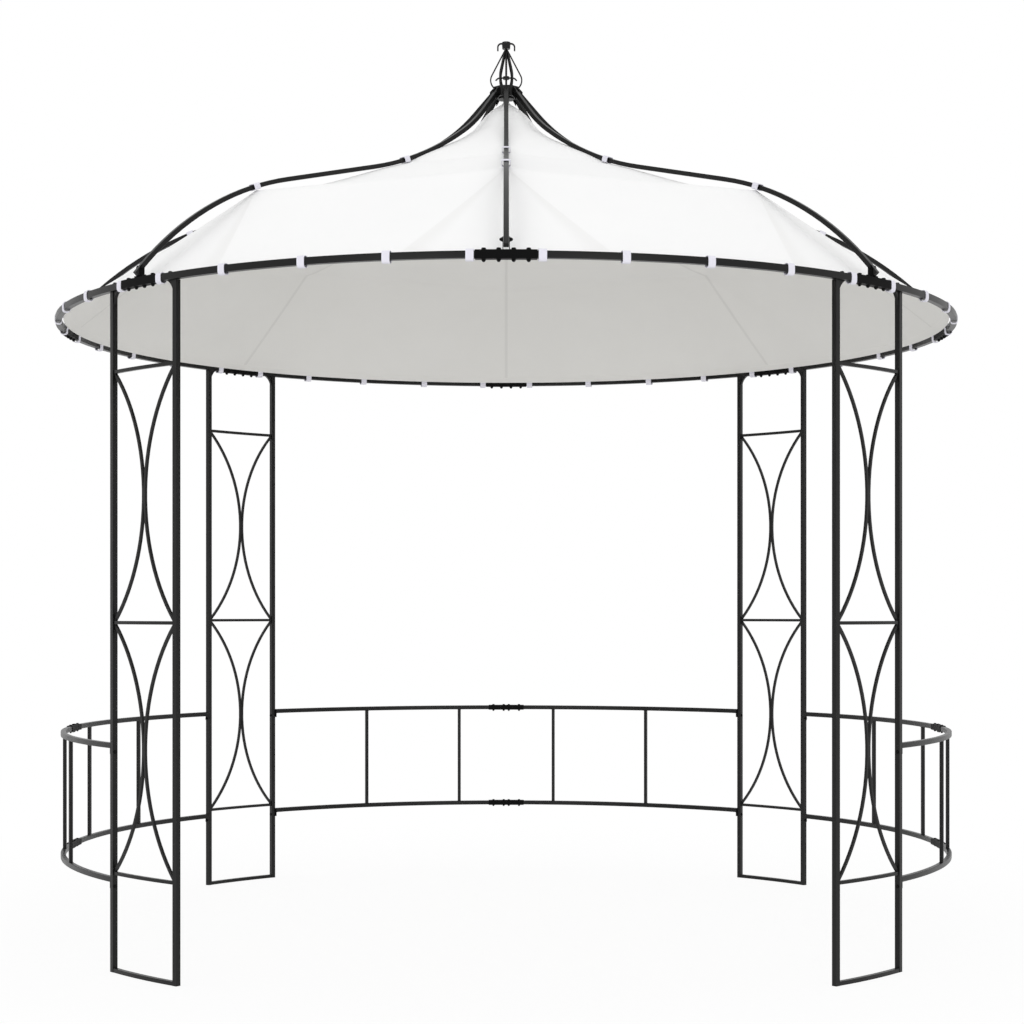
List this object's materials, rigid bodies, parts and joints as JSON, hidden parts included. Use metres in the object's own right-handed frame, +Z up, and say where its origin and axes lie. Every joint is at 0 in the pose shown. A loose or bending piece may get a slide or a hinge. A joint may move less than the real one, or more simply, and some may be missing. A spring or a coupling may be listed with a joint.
{
  "type": "round garden gazebo",
  "caption": "Round open garden gazebo of bolted dark steel tube with lattice leg panels, low railings, ogee ribs, a wire finial and a tied-on white cloth canopy.",
  "frame": {"origin": "on the ground at the middle of the gazebo", "axes": "+Z up, the open entrance faces -Y, +X is to the right seen from the entrance"},
  "size_m": [3.0228, 3.0228, 3.0016],
  "materials": {
    "frame_steel": "satin powder coat",
    "canopy_cloth": "plain woven polyester",
    "strap_webbing": "narrow woven webbing"
  },
  "bodies": {
    "root": {"canopy": "canopy_cloth", "finial_cage": "frame_steel", "finial_cap": "frame_steel", "leg_panel_back_left": "frame_steel", "leg_panel_back_right": "frame_steel", "leg_panel_front_left": "frame_steel", "leg_panel_front_right": "frame_steel", "rail_joints_back": "frame_steel", "rail_joints_left": "frame_steel", "rail_joints_right": "frame_steel", "railing_back_left": "frame_steel", "railing_back_right": "frame_steel", "railing_left_back": "frame_steel", "railing_left_front": "frame_steel", "railing_right_back": "frame_steel", "railing_right_front": "frame_steel", "rib_back": "frame_steel", "rib_back_left": "frame_steel", "rib_back_right": "frame_steel", "rib_front": "frame_steel", "rib_front_left": "frame_steel", "rib_front_right": "frame_steel", "rib_left": "frame_steel", "rib_right": "frame_steel", "rib_straps": "strap_webbing", "ring_joint_back": "frame_steel", "ring_joint_back_left": "frame_steel", "ring_joint_back_right": "frame_steel", "ring_joint_front": "frame_steel", "ring_joint_front_left": "frame_steel", "ring_joint_front_right": "frame_steel", "ring_joint_left": "frame_steel", "ring_joint_right": "frame_steel", "ring_segment_1": "frame_steel", "ring_segment_2": "frame_steel", "ring_segment_3": "frame_steel", "ring_segment_4": "frame_steel", "ring_segment_5": "frame_steel", "ring_segment_6": "frame_steel", "ring_segment_7": "frame_steel", "ring_segment_8": "frame_steel", "ring_straps": "strap_webbing", "roof_hub": "frame_steel"}
  },
  "joints": []
}
